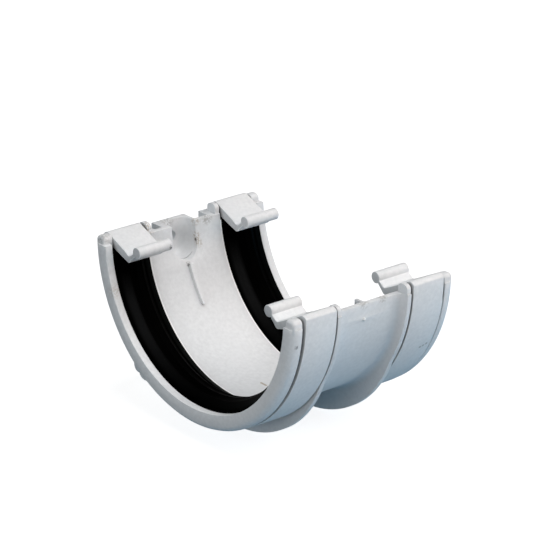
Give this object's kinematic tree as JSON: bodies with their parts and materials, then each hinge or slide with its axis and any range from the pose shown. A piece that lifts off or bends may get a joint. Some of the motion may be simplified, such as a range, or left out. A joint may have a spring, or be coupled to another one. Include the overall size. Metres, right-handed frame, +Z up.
{
  "type": "gutter union bracket",
  "caption": "Half-round gutter union bracket: a two-socket moulded body with rubber seals, spring retaining straps and a screw fixing to the fascia board.",
  "frame": {"origin": "on the gutter's axis, half-way along the union: the centre of the half-round trough", "axes": "+X along the gutter, +Y to the fascia board behind, -Y to the open front, +Z up"},
  "size_m": [0.0848, 0.1311, 0.0724],
  "materials": {
    "upvc": "moulded light grey, low gloss",
    "seal_rubber": "black, satin"
  },
  "bodies": {
    "root": {"union_body": "upvc", "strap_left": "upvc", "strap_right": "upvc", "seal_left": "seal_rubber", "seal_right": "seal_rubber"}
  },
  "joints": []
}
